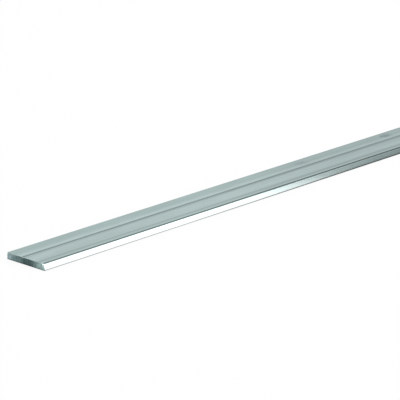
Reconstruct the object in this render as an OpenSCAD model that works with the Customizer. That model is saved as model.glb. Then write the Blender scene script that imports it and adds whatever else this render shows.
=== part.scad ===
// A cut length of solid aluminium flat bar, extruded as one piece.
// The long front edge is bevelled under a rounded nose and the back edge is square.
// Two shallow grooves run the whole length of the top.
// The bar lies along X with its bevel towards -Y, and the origin is the middle of the underside.

/* [Stock] */
// Length that the bar is sawn to
bar_length = 1000; // [100:10:3000]
// Width of the section, from the foot of the bevel to the back edge
bar_width = 30; // [25:1:60]
// Thickness, from the underside to the top
bar_thickness = 4; // [3:0.5:6]

/* [Front edge] */
// Lean of the bevelled face, in degrees from upright
bevel_lean = 23; // [10:1:40]
// Radius of the nose, where the bevel meets the top
nose_radius = 1.2; // [0.4:0.1:2]
// Radius of the foot, where the bevel meets the underside
foot_radius = 0.5; // [0.1:0.05:0.8]

/* [Back edge] */
// Radius of the two corners of the back edge
back_radius = 0.2; // [0.1:0.05:1]

/* [Grooves] */
// Distance from the back edge to the middle of the back groove
back_groove_inset = 13; // [6:0.1:14]
// Width of the back groove at the top
back_groove_width = 2.4; // [1:0.1:4]
// Depth of the back groove
back_groove_depth = 0.12; // [0.05:0.01:0.4]
// Distance from the top of the bevel to the middle of the front groove
front_groove_inset = 3.6; // [2:0.1:4]
// Width of the front groove at the top
front_groove_width = 2.4; // [1:0.1:4]
// Depth of the front groove
front_groove_depth = 0.06; // [0.03:0.01:0.3]

/* [Sawn ends] */
// Width of the chamfer that the file leaves round each sawn end
end_chamfer = 0.15; // [0.05:0.05:0.5]

/* [Hidden] */
$fn = 96;

// How far a cutter reaches past the surface that it opens
clearance = 1;
// The sharp corners of the bevel, before they are rounded: the rounded foot is the widest point
foot_corner = -bar_width / 2 - foot_radius * (1 / tan(45 - bevel_lean / 2) - 1);
nose_corner = foot_corner + bar_thickness * tan(bevel_lean);
back_face = bar_width / 2;

function along(angle) = [cos(angle), sin(angle)];

// What a round corner takes off a sharp one.
// The two edges leave the corner at angle_a and angle_b, with metal between them.
module corner_waste(corner, angle_a, angle_b, radius) {
    half_angle = (angle_b - angle_a) / 2;
    setback = radius / tan(half_angle);
    outside = corner - clearance / sin(half_angle) * along(angle_a + half_angle);
    centre = corner + radius / sin(half_angle) * along(angle_a + half_angle);
    difference() {
        polygon([
            outside,
            corner + setback * along(angle_a) + clearance * along(angle_a - 90),
            centre,
            corner + setback * along(angle_b) + clearance * along(angle_b + 90)
        ]);
        translate(centre) circle(r = radius);
    }
}

// A round-bottomed groove, cut down into the top by one arc
module groove(middle, width, depth) {
    arc_radius = (pow(width / 2, 2) + pow(depth, 2)) / (2 * depth);
    translate([middle, bar_thickness - depth + arc_radius]) circle(r = arc_radius);
}

// The die's opening, with the width along X and the thickness along Y
module section() {
    difference() {
        polygon([
            [foot_corner, 0],
            [back_face, 0],
            [back_face, bar_thickness],
            [nose_corner, bar_thickness]
        ]);
        corner_waste([foot_corner, 0], 0, 90 - bevel_lean, foot_radius);
        corner_waste([back_face, 0], 90, 180, back_radius);
        corner_waste([back_face, bar_thickness], 180, 270, back_radius);
        corner_waste([nose_corner, bar_thickness], -90 - bevel_lean, 0, nose_radius);
        groove(back_face - back_groove_inset, back_groove_width, back_groove_depth);
        groove(nose_corner + front_groove_inset, front_groove_width, front_groove_depth);
    }
}

// A prism that takes the sharp edge off one side of a sawn end at x = 0, with the bar at x > 0.
// point is a place on that side of the section, and facing is the angle of its outward normal.
module end_waste(point, facing) {
    run = bar_width + bar_thickness;
    translate([0, point.x, point.y])
        rotate([facing - 90, 0, 0])
            rotate([90, 0, 0])
                linear_extrude(height = 2 * run, center = true)
                    polygon([
                        [-clearance, -end_chamfer - clearance],
                        [end_chamfer + clearance, clearance],
                        [-clearance, clearance]
                    ]);
}

// The four filed edges round one sawn end
module filed_end() {
    end_waste([0, bar_thickness], 90);
    end_waste([0, 0], -90);
    end_waste([back_face, 0], 0);
    end_waste([foot_corner, 0], 180 - bevel_lean);
}

module flat_bar() {
    color([0.69, 0.75, 0.75])
        difference() {
            rotate([90, 0, 90])
                linear_extrude(height = bar_length, center = true) section();
            for (end = [0, 1])
                mirror([end, 0, 0]) translate([-bar_length / 2, 0, 0]) filed_end();
        }
}

flat_bar();
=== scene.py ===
import math

import bmesh
import bpy
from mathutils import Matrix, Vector, noise


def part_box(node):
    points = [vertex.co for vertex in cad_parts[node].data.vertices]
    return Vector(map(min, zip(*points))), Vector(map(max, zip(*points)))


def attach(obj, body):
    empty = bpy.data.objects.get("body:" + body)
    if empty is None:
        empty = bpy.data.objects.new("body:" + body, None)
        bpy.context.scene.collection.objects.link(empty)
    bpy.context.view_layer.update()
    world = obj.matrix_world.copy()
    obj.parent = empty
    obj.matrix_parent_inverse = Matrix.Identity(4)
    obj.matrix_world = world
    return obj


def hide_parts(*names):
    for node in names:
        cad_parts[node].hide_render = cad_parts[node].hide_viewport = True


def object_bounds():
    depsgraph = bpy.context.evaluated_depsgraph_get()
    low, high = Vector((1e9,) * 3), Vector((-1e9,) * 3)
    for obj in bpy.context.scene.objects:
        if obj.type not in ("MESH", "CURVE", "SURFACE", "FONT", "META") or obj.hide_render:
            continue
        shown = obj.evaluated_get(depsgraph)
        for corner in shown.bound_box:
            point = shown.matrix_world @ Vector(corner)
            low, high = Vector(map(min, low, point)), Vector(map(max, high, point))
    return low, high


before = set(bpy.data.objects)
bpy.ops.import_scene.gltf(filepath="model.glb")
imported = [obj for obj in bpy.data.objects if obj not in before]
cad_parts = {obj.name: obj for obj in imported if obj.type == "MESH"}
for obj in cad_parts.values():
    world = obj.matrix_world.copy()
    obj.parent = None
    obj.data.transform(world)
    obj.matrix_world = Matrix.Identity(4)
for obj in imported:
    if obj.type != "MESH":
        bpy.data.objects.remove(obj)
cadLow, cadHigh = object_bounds()
barLow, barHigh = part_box("flat_bar")
print("frame loaded, bar is", [round(v, 4) for v in barHigh - barLow])


# camera, from the straight edges and the sawn end in the photo
cameraSettings = {
    "place": (-1.4004, -0.9709, 0.4536),
    "yaw": 46.958,                           # degrees from +Y towards +X
    "pitch": 17.495,                         # degrees below level
    "lens": 230.1,                           # mm
    "sensor": 36,                            # mm
    "clipEnd": 50,                           # m, beyond the far corner of the floor
}


def addCamera(s):
    data = bpy.data.cameras.new("camera")
    data.lens = s["lens"]
    data.sensor_width = s["sensor"]
    data.clip_end = s["clipEnd"]
    camera = bpy.data.objects.new("camera", data)
    camera.location = s["place"]
    camera.rotation_euler = (math.radians(90 - s["pitch"]), 0, -math.radians(s["yaw"]))
    bpy.context.collection.objects.link(camera)
    bpy.context.scene.camera = camera


addCamera(cameraSettings)
print("camera placed")


# small helpers for node trees
def setInput(tree, socket, value):
    if isinstance(value, bpy.types.NodeSocket):
        tree.links.new(value, socket)
    else:
        socket.default_value = value


def addNode(tree, kind, inputs=None, **settings):
    node = tree.nodes.new(kind)
    for name, value in settings.items():
        setattr(node, name, value)
    for name, value in (inputs or {}).items():
        setInput(tree, node.inputs[name], value)
    return node


def maths(tree, operation, a, b=0.0):
    return addNode(tree, "ShaderNodeMath", {0: a, 1: b}, operation=operation).outputs[0]


def vectorMaths(tree, operation, a, b=(0, 0, 0)):
    return addNode(tree, "ShaderNodeVectorMath", {0: a, 1: b}, operation=operation).outputs


def product(tree, value, *factors):
    for factor in factors:
        value = maths(tree, "MULTIPLY", value, factor)
    return value


def withLayers(tree, value, layers):
    # adds a share of each layer to a plain value
    for layer, share in layers:
        value = maths(tree, "ADD", value, product(tree, layer, share))
    return value


def rangeTo(tree, value, fromLow, fromHigh, toLow, toHigh, kind="SMOOTHSTEP"):
    inputs = {0: value, 1: fromLow, 2: fromHigh, 3: toLow, 4: toHigh}
    return addNode(tree, "ShaderNodeMapRange", inputs, interpolation_type=kind).outputs[0]


def mixColour(tree, amount, a, b, kind="MIX"):
    inputs = {0: amount, 6: a, 7: b}
    return addNode(tree, "ShaderNodeMix", inputs, data_type="RGBA", blend_type=kind).outputs[2]


def shaded(tree, colour, shade):
    # a shade of 1 leaves the colour as it is
    grey = addNode(tree, "ShaderNodeCombineColor", {0: shade, 1: shade, 2: shade}).outputs[0]
    return mixColour(tree, 1.0, colour, grey, "MULTIPLY")


def axesOf(tree, vector):
    return addNode(tree, "ShaderNodeSeparateXYZ", {0: vector}).outputs


def placeOnBar(tree):
    # in the bar's own metres, whole and split into its axes
    place = addNode(tree, "ShaderNodeTexCoord").outputs["Object"]
    return place, axesOf(tree, place)


def fromSrgb(r, g, b):
    def channel(v):
        v /= 255
        return v / 12.92 if v <= 0.04045 else ((v + 0.055) / 1.055) ** 2.4
    return (channel(r), channel(g), channel(b), 1)


def newMaterial(name):
    material = bpy.data.materials.new(name)
    material.use_nodes = True
    material.node_tree.nodes.clear()
    return material, material.node_tree


def bumpFrom(tree, height, s):
    inputs = {"Strength": s["bumpStrength"], "Distance": s["bumpDistance"], "Height": height}
    return addNode(tree, "ShaderNodeBump", inputs).outputs[0]


def finishMetal(tree, colour, roughness, others=None):
    inputs = {"Base Color": colour, "Metallic": 1.0, "Roughness": roughness, **(others or {})}
    shader = addNode(tree, "ShaderNodeBsdfPrincipled", inputs)
    addNode(tree, "ShaderNodeOutputMaterial", {"Surface": shader.outputs[0]})


def newGroup(name, inputs, outputs):
    group = bpy.data.node_groups.new(name, "ShaderNodeTree")
    for label, kind, value in inputs:
        socket = group.interface.new_socket(label, in_out="INPUT", socket_type=kind)
        if value is not None:
            socket.default_value = value
    for label, kind in outputs:
        group.interface.new_socket(label, in_out="OUTPUT", socket_type=kind)
    return group, group.nodes.new("NodeGroupInput").outputs, group.nodes.new("NodeGroupOutput").inputs


# fine lines where a tool ran one way over the metal, or patches where the numbers are closer together
def makeToolLines():
    inputs = [
        ("Vector", "NodeSocketVector", None),
        ("Lines Per Metre", "NodeSocketVector", (1, 1, 1)),
        ("Detail", "NodeSocketFloat", 3.0),
        ("Low", "NodeSocketFloat", 0.35),
        ("High", "NodeSocketFloat", 0.65),
    ]
    group, given, out = newGroup("toolLines", inputs, [("Lines", "NodeSocketFloat")])
    stretched = vectorMaths(group, "MULTIPLY", given["Vector"], given["Lines Per Metre"])
    noiseInputs = {"Vector": stretched[0], "Scale": 1.0, "Detail": given["Detail"], "Roughness": 0.6}
    grain = addNode(group, "ShaderNodeTexNoise", noiseInputs).outputs[0]
    lines = rangeTo(group, grain, given["Low"], given["High"], 0, 1, "LINEAR")
    group.links.new(lines, out["Lines"])
    return group


# a soft-edged stripe round one place across the bar
def makeStripe():
    inputs = [
        ("Position", "NodeSocketFloat", None),
        ("Middle", "NodeSocketFloat", 0.0),
        ("Half Width", "NodeSocketFloat", 0.001),
        ("Softness", "NodeSocketFloat", 0.0003),
    ]
    group, given, out = newGroup("stripe", inputs, [("Mask", "NodeSocketFloat")])
    offset = maths(group, "SUBTRACT", given["Position"], given["Middle"])
    distance = maths(group, "ABSOLUTE", offset)
    inner = maths(group, "SUBTRACT", given["Half Width"], given["Softness"])
    outer = maths(group, "ADD", given["Half Width"], given["Softness"])
    mask = rangeTo(group, distance, inner, outer, 1, 0)
    group.links.new(mask, out["Mask"])
    return group


toolLines = makeToolLines()
stripe = makeStripe()


def linesOver(tree, place, linesPerMetre):
    inputs = {"Vector": place, "Lines Per Metre": linesPerMetre}
    return addNode(tree, "ShaderNodeGroup", inputs, node_tree=toolLines).outputs[0]


def stripeAt(tree, position, middle, halfWidth, softness):
    inputs = {"Position": position, "Middle": middle, "Half Width": halfWidth, "Softness": softness}
    return addNode(tree, "ShaderNodeGroup", inputs, node_tree=stripe).outputs[0]


# the bar: one section swept along X, in metres, with the sizes that its drawing gives
barSettings = {
    "bevelLean": math.radians(23),
    "noseRadius": 0.0012,
    "footRadius": 0.0005,
    "backRadius": 0.0002,
    "backGroove": {"inset": 0.0130, "width": 0.0024, "depth": 0.00012},
    "frontGroove": {"inset": 0.0036, "width": 0.0024, "depth": 0.00006},
    "endChamfer": 0.00015,
    "bevelCrown": 0.000024,                  # swell of the bevelled face over its height
    "crownSteps": 8,
    "noseFiling": 0.00055,                   # the file cut this much deeper at the nose
    "noseFilingLead": 0.0002,                # and began that far before it on the top
    "backFiling": 0.0006,                    # it also cut deeper at the top of the back corner
    "backFilingReach": 0.0028,               # and ran out over this much of the top
    "filingSteps": 10,
    "arcStep": math.radians(5),
    "grooveSteps": 10,
    "sawColumn": 0.0002,                     # spacing of the grid on the sawn faces
    "sawRow": 0.0004,
    "sawSink": 0.000008,                     # how far the sawn faces lie inside their rims
    "sawMarks": [                            # waves per metre, and how deep each kind cuts
        {"across": 1400, "slant": 180, "up": 90, "seed": 3, "depth": 0.000024},
        {"across": 420, "slant": 0, "up": 160, "seed": 9, "depth": 0.000032},
    ],
    "cutTolerance": 1e-7,
    "sharpAngle": math.radians(9),
    "flatWeight": 100,                       # how far the large flats set the shading round them
}
quarterTurn = math.pi / 2

# the bar's materials, in the order in which it gets them
millSlot, sawnSlot, filedSlot = range(3)


def bevelCorners(s):
    # where the flat of the bevel would meet the underside and the top
    foot = barLow.y - s["footRadius"] * (1 / math.tan((quarterTurn - s["bevelLean"]) / 2) - 1)
    return foot, foot + barHigh.z * math.tan(s["bevelLean"])


def grooveMiddles(s):
    foot, nose = bevelCorners(s)
    return barHigh.y - s["backGroove"]["inset"], nose + s["frontGroove"]["inset"]


def direction(angle):
    return Vector((math.cos(angle), math.sin(angle)))


up = direction(quarterTurn)


def roundCorner(corner, nextEdge, lastEdge, radius, s):
    # points and their ways out of the metal, from the edge that comes in to the one that goes out
    half = (lastEdge - nextEdge) / 2
    centre = corner + direction(nextEdge + half) * (radius / math.sin(half))
    start = lastEdge + quarterTurn
    turn = math.pi - 2 * half
    steps = math.ceil(turn / s["arcStep"])
    points = []
    for i in range(steps + 1):
        outward = direction(start + turn * i / steps)
        points.append((centre + outward * radius, outward))
    return points


def grooveArc(middle, groove, s):
    # from the back lip to the front lip
    halfWidth = groove["width"] / 2
    radius = (halfWidth ** 2 + groove["depth"] ** 2) / (2 * groove["depth"])
    reach = math.asin(halfWidth / radius)
    centre = Vector((middle, barHigh.z - groove["depth"] + radius))
    steps = s["grooveSteps"]
    angles = [-quarterTurn + reach * (1 - 2 * i / steps) for i in range(steps + 1)]
    return [(centre + direction(a) * radius, up) for a in angles]


def alongTop(start, end, s):
    # evenly spaced points of the flat top, the last one left out
    steps = s["filingSteps"]
    return [(Vector((start + (end - start) * i / steps, barHigh.z)), up) for i in range(steps)]


def crownedFace(start, end, s):
    # the points between the two ends of a face whose swell is a parabola
    along = end - start
    outward = Vector((along.y, -along.x)).normalized()
    points = []
    for i in range(1, s["crownSteps"]):
        share = i / s["crownSteps"]
        swell = s["bevelCrown"] * (1 - (2 * share - 1) ** 2)
        points.append((start + along * share + outward * swell, outward))
    return points


def filed(points, s, extras=None, straightDown=False):
    # adds each point's match on the sawn face, and how far along the bar the file reached
    filedPoints = []
    for i, (point, outward) in enumerate(points):
        extra = extras[i] if extras else 0.0
        way = up if straightDown else outward
        inner = point - outward * s["endChamfer"] - way * extra
        filedPoints.append((point, inner, s["endChamfer"] + extra))
    return filedPoints


def filedBackCorner(s):
    # the extra filing grows round the corner and runs out along the top
    corner = roundCorner(barHigh.yz, math.pi, 3 * quarterTurn, s["backRadius"], s)[:-1]
    start = barHigh.y - s["backRadius"]
    top = alongTop(start, start - s["backFilingReach"], s)
    shares = [i / len(corner) for i in range(len(corner))]
    shares += [(1 + math.cos(math.pi * i / len(top))) / 2 for i in range(len(top))]
    extras = [s["backFiling"] * share for share in shares]
    return filed(corner + top, s, extras, straightDown=True)


def filedNose(corner, s):
    # the extra filing swells and fades again over the lead and the nose
    arc = roundCorner(corner, -quarterTurn - s["bevelLean"], 0, s["noseRadius"], s)
    arcLength = s["noseRadius"] * (quarterTurn - s["bevelLean"])
    lead = s["noseFilingLead"]
    start = arc[0][0].x
    top = alongTop(start + lead, start, s)
    places = [lead * i / len(top) for i in range(len(top))]
    places += [lead + arcLength * i / (len(arc) - 1) for i in range(len(arc))]
    swells = [math.sin(math.pi * place / (lead + arcLength)) ** 2 for place in places]
    return filed(top + arc, s, [s["noseFiling"] * swell for swell in swells])


def sectionOutline(s):
    # anticlockwise from the foot, each entry as filed() gives it
    foot, nose = bevelCorners(s)
    backMiddle, frontMiddle = grooveMiddles(s)
    frontFoot = Vector((foot, 0))
    backFoot = Vector((barHigh.y, 0))
    outline = filed(roundCorner(frontFoot, 0, quarterTurn - s["bevelLean"], s["footRadius"], s), s)
    outline += filed(roundCorner(backFoot, quarterTurn, math.pi, s["backRadius"], s), s)
    outline += filedBackCorner(s)
    outline += filed(grooveArc(backMiddle, s["backGroove"], s), s)
    outline += filed(grooveArc(frontMiddle, s["frontGroove"], s), s)
    outline += filedNose(Vector((nose, barHigh.z)), s)
    outline += filed(crownedFace(outline[-1][0], outline[0][0], s), s)
    return outline


def sawRelief(y, z, s):
    # the blade's teeth left near-upright marks that wander a little
    relief = 0
    for mark in s["sawMarks"]:
        spot = Vector((y * mark["across"] + z * mark["slant"], z * mark["up"], mark["seed"]))
        relief += mark["depth"] * noise.noise(spot)
    return min(relief, 0) - s["sawSink"]


def cutGrid(bm, s):
    # both sawn faces get a fine grid, and the blade's marks are pressed into it
    def sawnParts():
        faces = [f for f in bm.faces if f.material_index == sawnSlot]
        edges = {e for f in faces for e in f.edges}
        verts = {v for f in faces for v in f.verts}
        return faces + list(edges) + list(verts)

    def cutAcross(axis, step):
        low, high = barLow[axis], barHigh[axis]
        cuts = int((high - low) / step)
        normal = Vector((0, 0, 0))
        normal[axis] = 1
        for i in range(1, cuts):
            place = normal * (low + (high - low) * i / cuts)
            bmesh.ops.bisect_plane(bm, geom=sawnParts(), dist=s["cutTolerance"],
                                   plane_co=place, plane_no=normal)

    cutAcross(1, s["sawColumn"])
    cutAcross(2, s["sawRow"])
    for vert in bm.verts:
        if all(f.material_index == sawnSlot for f in vert.link_faces):
            outward = math.copysign(1, vert.co.x)
            vert.co.x += outward * sawRelief(vert.co.y, vert.co.z, s)


def buildBar(s):
    mesh = bpy.data.meshes.new("bar")
    bm = bmesh.new()
    # the rim of the shown sawn face, both ends of the long faces, and the rim of the far sawn face
    rings = [[], [], [], []]
    for point, inner, reach in sectionOutline(s):
        rings[0].append(bm.verts.new((barLow.x, inner.x, inner.y)))
        rings[1].append(bm.verts.new((barLow.x + reach, point.x, point.y)))
        rings[2].append(bm.verts.new((barHigh.x - reach, point.x, point.y)))
        rings[3].append(bm.verts.new((barHigh.x, inner.x, inner.y)))
    count = len(rings[0])
    for near, far, slot in zip(rings, rings[1:], (filedSlot, millSlot, filedSlot)):
        for i in range(count):
            j = (i + 1) % count
            bm.faces.new((near[i], near[j], far[j], far[i])).material_index = slot
    for ring in (rings[0][::-1], rings[3]):
        bm.faces.new(ring).material_index = sawnSlot
    bm.normal_update()
    cutGrid(bm, s)
    bmesh.ops.recalc_face_normals(bm, faces=bm.faces)
    bm.to_mesh(mesh)
    bm.free()
    for polygon in mesh.polygons:
        polygon.use_smooth = True
    mesh.set_sharp_from_angle(angle=s["sharpAngle"])
    bar = bpy.data.objects.new("bar", mesh)
    bpy.context.collection.objects.link(bar)
    weighted = bar.modifiers.new("flatsStayFlat", "WEIGHTED_NORMAL")
    weighted.keep_sharp = True
    weighted.weight = s["flatWeight"]
    return bar


bar = buildBar(barSettings)
print("bar meshed,", len(bar.data.polygons), "faces")


# mill finish: the skin that the die leaves, seen along the bar
millSettings = {
    "tone": fromSrgb(180, 199, 198),
    "backTone": fromSrgb(161, 182, 178),     # greener stretch next to the back edge
    "backBand": (0.0045, 0.0098),            # where that begins, across the bar
    "frontTone": fromSrgb(170, 190, 188),    # strip between the front groove and the nose
    "hazeTone": fromSrgb(158, 183, 190),     # faint blue bloom in patches
    "haze": (0.10, 0.30),                    # how much, over most of the top and over the back stretch
    # painted shade along the floors of both grooves
    "paintedGrooveShade": fromSrgb(136, 155, 154),
    "grooveShadeRange": (0.85, 1.1),               # the clouds make the painted shade in the grooves this weak and strong
    # how strong that painted shade is, its half width and softness as shares of the groove's, and its
    # shift
    "backGroove": {"strength": 1.0, "halfWidth": 1.55, "softness": 1.0, "shift": 0.0001},
    "frontGroove": {"strength": 0.72, "halfWidth": 1.2, "softness": 0.85, "shift": -0.0002},
    "paintedLipHighlight": fromSrgb(182, 202, 201),      # painted highlights along the edges of the grooves
    "lipShare": 0.7,                         # of the tone's full strength
    "lipOffset": 0.0022,                     # from the middle of the groove
    "lipSpread": 0.5,                        # its half width and softness, of the groove's half width
    "endFade": (0.25, 0.70),                 # the grooves' painted shade and highlights fade over this reach, to this share
    "backEdgeTone": fromSrgb(140, 158, 156),
    "backEdge": (0.0145, 0.0148),            # where that darker tone begins, across the bar
    "paintedBevelHighlight": fromSrgb(227, 252, 251),    # painted highlight: the bevel is brighter than the top
    "bevelTop": (0.0034, 0.0040),            # height where that ends
    "bevelLines": 0.25,                      # share of the die lines that the smoother bevel keeps
    # painted shade along the foot line
    "paintedFootShade": fromSrgb(52, 63, 62),
    "lightFootShade": fromSrgb(180, 182, 182),
    "footFade": (-0.40, -0.22),              # the painted shade on the foot is light near the shown end, then dark
    "dieLines": (2.5, 2600, 2600),           # each pattern per metre along, across and up
    "broadLines": (1.2, 640, 640),
    "clouds": (35, 130, 130),
    "hazePatches": (90, 240, 240),
    "plainShade": 0.805,                     # brightness where no pattern adds to it
    "dieLineShade": 0.09,
    "broadLineShade": 0.20,
    "cloudShade": 0.10,
    "roughness": 0.12,
    "broadLineRoughness": 0.05,
    "bumpStrength": 0.1,
    "bumpDistance": 0.00001,
    "grazingTint": (0.96, 1, 1, 1),          # of what it mirrors at a low angle
}
stainSettings = {
    "tone": fromSrgb(124, 142, 146),
    "spots": [                               # x, y, half length, half width and strength
        (-0.2605, 0.0086, 0.0062, 0.0038, 0.42),
        (-0.1970, 0.0105, 0.0140, 0.0036, 0.18),
        (-0.1785, 0.0096, 0.0062, 0.0032, 1.00),
    ],
    "edgeLines": (350, 700, 700),            # per metre along, across and up
    "raggedness": 0.5,
    "edge": (0.5, 1.5),                      # the mark fades out over this span of its half size
}


def addStains(tree, place, colour, s):
    # handling marks with ragged edges
    ragged = product(tree, linesOver(tree, place, s["edgeLines"]), s["raggedness"])
    for x, y, halfLength, halfWidth, strength in s["spots"]:
        offset = vectorMaths(tree, "SUBTRACT", place, (x, y, barHigh.z))[0]
        scaled = vectorMaths(tree, "DIVIDE", offset, (halfLength, halfWidth, halfWidth))[0]
        reach = vectorMaths(tree, "LENGTH", scaled)["Value"]
        reach = maths(tree, "ADD", reach, ragged)
        colour = mixColour(tree, rangeTo(tree, reach, *s["edge"], strength, 0), colour, s["tone"])
    return colour


def addGrooveShading(tree, y, colour, middle, width, clouds, fade, s, look):
    # painted highlights on both lips, and painted shade along the groove's floor
    half = width / 2
    spread = s["lipSpread"] * half
    for side in (-1, 1):
        highlight = stripeAt(tree, y, middle + side * s["lipOffset"], spread, spread)
        highlight = product(tree, highlight, fade, s["lipShare"] * look["strength"])
        colour = mixColour(tree, highlight, colour, s["paintedLipHighlight"])
    middle += look["shift"]
    inside = stripeAt(tree, y, middle, look["halfWidth"] * half, look["softness"] * half)
    low, high = (limit * look["strength"] for limit in s["grooveShadeRange"])
    shadeAmount = rangeTo(tree, clouds, 0, 1, low, high)
    return mixColour(tree, product(tree, shadeAmount, fade, inside), colour, s["paintedGrooveShade"])


def addFootShade(tree, axes, colour, s, radius):
    # painted shade along the foot, light near the shown end and dark beyond
    low = rangeTo(tree, axes["Z"], radius, 2 * radius, 1, 0)
    front = rangeTo(tree, axes["Y"], barLow.y + radius, barLow.y + 2 * radius, 1, 0)
    dark = rangeTo(tree, axes["X"], *s["footFade"], 0, 1)
    paintedFootShade = mixColour(tree, dark, s["lightFootShade"], s["paintedFootShade"])
    return mixColour(tree, product(tree, low, front), colour, paintedFootShade)


def millAluminium(s, bar, stains):
    material, tree = newMaterial("millAluminium")
    place, axes = placeOnBar(tree)
    y = axes["Y"]
    dieLines = linesOver(tree, place, s["dieLines"])
    broadLines = linesOver(tree, place, s["broadLines"])
    clouds = linesOver(tree, place, s["clouds"])
    haze = linesOver(tree, place, s["hazePatches"])

    back = rangeTo(tree, y, *s["backBand"], 0, 1)
    colour = mixColour(tree, back, s["tone"], s["backTone"])
    haze = product(tree, haze, rangeTo(tree, back, 0, 1, *s["haze"]))
    colour = mixColour(tree, haze, colour, s["hazeTone"])
    backMiddle, frontMiddle = grooveMiddles(bar)
    frontLip = frontMiddle - bar["frontGroove"]["width"] / 2
    colour = mixColour(tree, rangeTo(tree, y, frontLip, frontMiddle, 1, 0), colour, s["frontTone"])
    reach, endShare = s["endFade"]
    fromMiddle = maths(tree, "ABSOLUTE", axes["X"])
    fade = rangeTo(tree, fromMiddle, barHigh.x - reach, barHigh.x, 1, endShare)
    for name, middle in (("backGroove", backMiddle), ("frontGroove", frontMiddle)):
        colour = addGrooveShading(tree, y, colour, middle, bar[name]["width"], clouds, fade, s, s[name])
    colour = mixColour(tree, rangeTo(tree, y, *s["backEdge"], 0, 1), colour, s["backEdgeTone"])
    colour = addStains(tree, place, colour, stains)

    # the bevel gets a painted highlight, brighter than the top
    inFront = maths(tree, "LESS_THAN", y, bevelCorners(bar)[1])
    onBevel = product(tree, inFront, rangeTo(tree, axes["Z"], *s["bevelTop"], 1, 0))
    colour = mixColour(tree, onBevel, colour, s["paintedBevelHighlight"])
    dieLines = product(tree, dieLines, rangeTo(tree, onBevel, 0, 1, 1, s["bevelLines"]))
    colour = addFootShade(tree, axes, colour, s, bar["footRadius"])

    layers = [
        (dieLines, s["dieLineShade"]),
        (broadLines, s["broadLineShade"]),
        (clouds, s["cloudShade"]),
    ]
    colour = shaded(tree, colour, withLayers(tree, s["plainShade"], layers))
    roughness = withLayers(tree, s["roughness"], [(broadLines, s["broadLineRoughness"])])
    finishMetal(tree, colour, roughness,
                {"Specular Tint": s["grazingTint"], "Normal": bumpFrom(tree, dieLines, s)})
    return material


# sawn face: coarse near-upright marks over duller metal
sawnSettings = {
    "tone": fromSrgb(104, 120, 122),
    "greenTone": fromSrgb(95, 121, 119),
    "darkTone": fromSrgb(72, 88, 89),
    "darkGreenTone": fromSrgb(66, 88, 87),
    "darkBand": (-0.0011, 0.0040, 0.0014),   # middle, half width and softness across the bar
    "backTone": fromSrgb(146, 166, 169),     # lighter towards both long edges
    "backFade": (0.0070, 0.0150),
    "frontTone": fromSrgb(160, 182, 179),
    "frontFade": (-0.0145, -0.0055),
    "contactShadowFade": (0.0003, 0.0009),          # painted contact shadow along the floor, up to this height
    "bottomShade": 0.45,
    "marks": (300, 1300, 150),               # each pattern per metre along, across and up
    "fineMarks": (900, 5200, 500),
    "patches": (80, 620, 330),
    "hues": (60, 410, 280),
    "plainShade": 0.47,                      # brightness where no pattern adds to it
    "markShade": 0.35,
    "fineMarkShade": 0.18,
    "patchShade": 0.58,
    "roughness": 0.38,
    "bumpStrength": 0.4,
    "bumpDistance": 0.00005,
}


def sawnAluminium(s):
    material, tree = newMaterial("sawnAluminium")
    place, axes = placeOnBar(tree)
    y = axes["Y"]
    marks = linesOver(tree, place, s["marks"])
    fineMarks = linesOver(tree, place, s["fineMarks"])
    patches = linesOver(tree, place, s["patches"])
    hues = linesOver(tree, place, s["hues"])

    light = mixColour(tree, hues, s["tone"], s["greenTone"])
    dark = mixColour(tree, hues, s["darkTone"], s["darkGreenTone"])
    colour = mixColour(tree, stripeAt(tree, y, *s["darkBand"]), light, dark)
    colour = mixColour(tree, rangeTo(tree, y, *s["backFade"], 0, 1), colour, s["backTone"])
    colour = mixColour(tree, rangeTo(tree, y, *s["frontFade"], 1, 0), colour, s["frontTone"])
    layers = [
        (marks, s["markShade"]),
        (fineMarks, s["fineMarkShade"]),
        (patches, s["patchShade"]),
    ]
    # painted contact shadow along the floor
    contactShadow = rangeTo(tree, axes["Z"], *s["contactShadowFade"], s["bottomShade"], 1)
    shade = product(tree, withLayers(tree, s["plainShade"], layers), contactShadow)
    colour = shaded(tree, colour, shade)
    finishMetal(tree, colour, s["roughness"], {"Normal": bumpFrom(tree, marks, s)})
    return material


# filed edges round both ends
filedSettings = {
    "tone": fromSrgb(150, 168, 167),
    "brightTone": fromSrgb(205, 222, 220),
    "contactShadowTone": fromSrgb(48, 58, 58),      # painted contact shadow on the edge that faces the floor
    "contactShadowFade": (0.0002, 0.0003),
    "strokes": (2500, 900, 900),             # per metre along, across and up
    "roughness": 0.22,
}


def filedAluminium(s):
    material, tree = newMaterial("filedAluminium")
    place, axes = placeOnBar(tree)
    strokes = linesOver(tree, place, s["strokes"])
    colour = mixColour(tree, strokes, s["tone"], s["brightTone"])
    # painted contact shadow on the edge that faces the floor
    contactShadow = rangeTo(tree, axes["Z"], *s["contactShadowFade"], 1, 0)
    colour = mixColour(tree, contactShadow, colour, s["contactShadowTone"])
    finishMetal(tree, colour, s["roughness"])
    return material


bar.data.materials.append(millAluminium(millSettings, barSettings, stainSettings))
bar.data.materials.append(sawnAluminium(sawnSettings))
bar.data.materials.append(filedAluminium(filedSettings))
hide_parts("flat_bar")
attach(bar, "root")
print("bar finished")


# pale floor: the camera and the metal see it mostly plain white, and the rest shows the bar's shadow
floorSettings = {"size": 40.0, "tone": (0.97, 0.97, 0.97, 1), "glow": 0.85}


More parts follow.
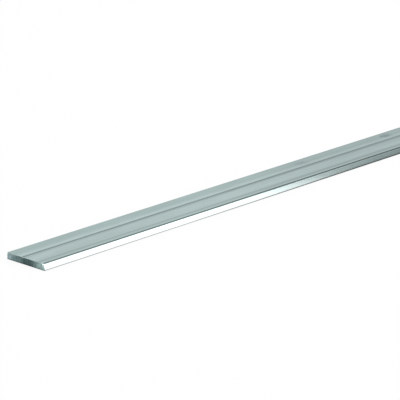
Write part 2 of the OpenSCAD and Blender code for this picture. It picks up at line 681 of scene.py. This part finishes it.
def buildFloor(s):
    half = s["size"] / 2
    corners = [(-half, -half, 0), (half, -half, 0), (half, half, 0), (-half, half, 0)]
    mesh = bpy.data.meshes.new("floor")
    mesh.from_pydata(corners, [], [(0, 1, 2, 3)])
    floor = bpy.data.objects.new("floor", mesh)
    floor.location.z = cadLow.z
    bpy.context.collection.objects.link(floor)
    material, tree = newMaterial("paleFloor")
    rays = addNode(tree, "ShaderNodeLightPath").outputs
    seen = maths(tree, "MAXIMUM", rays["Is Camera Ray"], rays["Is Glossy Ray"])
    matt = addNode(tree, "ShaderNodeBsdfDiffuse", {"Color": s["tone"]}).outputs[0]
    white = addNode(tree, "ShaderNodeEmission", {"Color": (1, 1, 1, 1), "Strength": 1.0}).outputs[0]
    both = addNode(tree, "ShaderNodeMixShader", {0: product(tree, seen, s["glow"]), 1: matt, 2: white})
    addNode(tree, "ShaderNodeOutputMaterial", {"Surface": both.outputs[0]})
    floor.data.materials.append(material)


# what the metal mirrors: a pale room, a dark ceiling round a bright overhead opening, and one window.
# Any way into it has a share along the bar, one across it and one upwards, 1 being straight so.
worldSettings = {
    "ceiling": 0.42,
    "ceilingStart": (0.50, 0.66),             # upwards
    "ceilingTilt": 0.2,                       # it begins lower down behind the bar than in front
    "endCeiling": 0.95,                       # the ceiling is brighter beyond the shown end
    "endCeilingStart": (-0.25, 0.0),          # along
    "overhead": 0.9,
    "overheadStart": (0.80, 0.92),            # upwards
    "front": 0.74,                            # light of the room in front of the bar and behind it
    "back": 1.0,
    "frontToBack": (-0.35, 0.35),             # across
    # each has two shares, and the factors that the light gets before the first and after the second
    "farRoom": (0.705, 0.735, 0.887, 0.755),  # along, the whole room
    "frontDip": (0.706, 0.724, 1.0, 0.58),    # along, in front only
    "frontFar": (0.740, 0.762, 1.0, 0.58),    # along, and once more
    "frontRise": (0.19, 0.31, 0.62, 1.42),    # upwards, brighter
    "frontFall": (0.31, 0.48, 1.0, 0.64),     # upwards, and darker again
    "window": (-0.55, 0.07, 0.80),            # the way to the window that the filed nose mirrors
    "windowEdge": (0.90, 0.96),               # how near to that way it begins, 1 being straight at it
    "windowStrength": 6.0,
}


def buildWorld(s):
    world = bpy.data.worlds.new("studio")
    bpy.context.scene.world = world
    world.use_nodes = True
    tree = world.node_tree
    tree.nodes.clear()
    way = addNode(tree, "ShaderNodeTexCoord").outputs["Generated"]
    axes = axesOf(tree, way)
    x, y, z = (axes[name] for name in "XYZ")

    rise = maths(tree, "ADD", z, product(tree, y, s["ceilingTilt"]))
    ceiling = rangeTo(tree, x, *s["endCeilingStart"], s["endCeiling"], s["ceiling"])
    room = rangeTo(tree, rise, *s["ceilingStart"], 1.0, ceiling)
    opening = rangeTo(tree, z, *s["overheadStart"], 0.0, s["overhead"] - s["ceiling"])
    room = maths(tree, "ADD", room, opening)
    room = product(tree, room, rangeTo(tree, x, *s["farRoom"]))
    front = product(tree, rangeTo(tree, x, *s["frontDip"]), rangeTo(tree, x, *s["frontFar"]),
                    rangeTo(tree, z, *s["frontRise"], "LINEAR"), rangeTo(tree, z, *s["frontFall"]),
                    s["front"])
    room = product(tree, room, rangeTo(tree, y, *s["frontToBack"], front, s["back"]))
    facing = vectorMaths(tree, "DOT_PRODUCT", way, Vector(s["window"]).normalized())["Value"]
    window = rangeTo(tree, facing, *s["windowEdge"], 0.0, s["windowStrength"])
    room = maths(tree, "ADD", room, window)

    # only what mirrors the room sees it, and all else is lit by plain white
    glossy = addNode(tree, "ShaderNodeLightPath").outputs["Is Glossy Ray"]
    plain = maths(tree, "SUBTRACT", 1.0, glossy)
    strength = maths(tree, "ADD", product(tree, glossy, room), plain)
    light = addNode(tree, "ShaderNodeBackground", {"Color": (1, 1, 1, 1), "Strength": strength})
    addNode(tree, "ShaderNodeOutputWorld", {"Surface": light.outputs[0]})


# a soft upright card in front of the bar, which the bevel mirrors
cardSettings = {
    "low": (0.0, -0.62, 0.02),
    "high": (0.390, -0.62, 0.66),
    "tint": (1.0, 0.86, 0.86),
    "strength": 1.06,
}


def buildCard(s):
    (x0, y0, z0), (x1, y1, z1) = s["low"], s["high"]
    data = bpy.data.lights.new("frontCard", "AREA")
    data.shape = "RECTANGLE"
    data.size = x1 - x0
    data.size_y = z1 - z0
    data.color = s["tint"]
    data.energy = s["strength"] * math.pi * data.size * data.size_y
    card = bpy.data.objects.new("frontCard", data)
    card.location = ((x0 + x1) / 2, (y0 + y1) / 2, (z0 + z1) / 2)
    card.rotation_euler = (quarterTurn, 0, 0)
    card.visible_camera = False
    bpy.context.collection.objects.link(card)


buildFloor(floorSettings)
buildWorld(worldSettings)
buildCard(cardSettings)
bpy.context.scene.view_settings.view_transform = "Standard"
print("studio built")
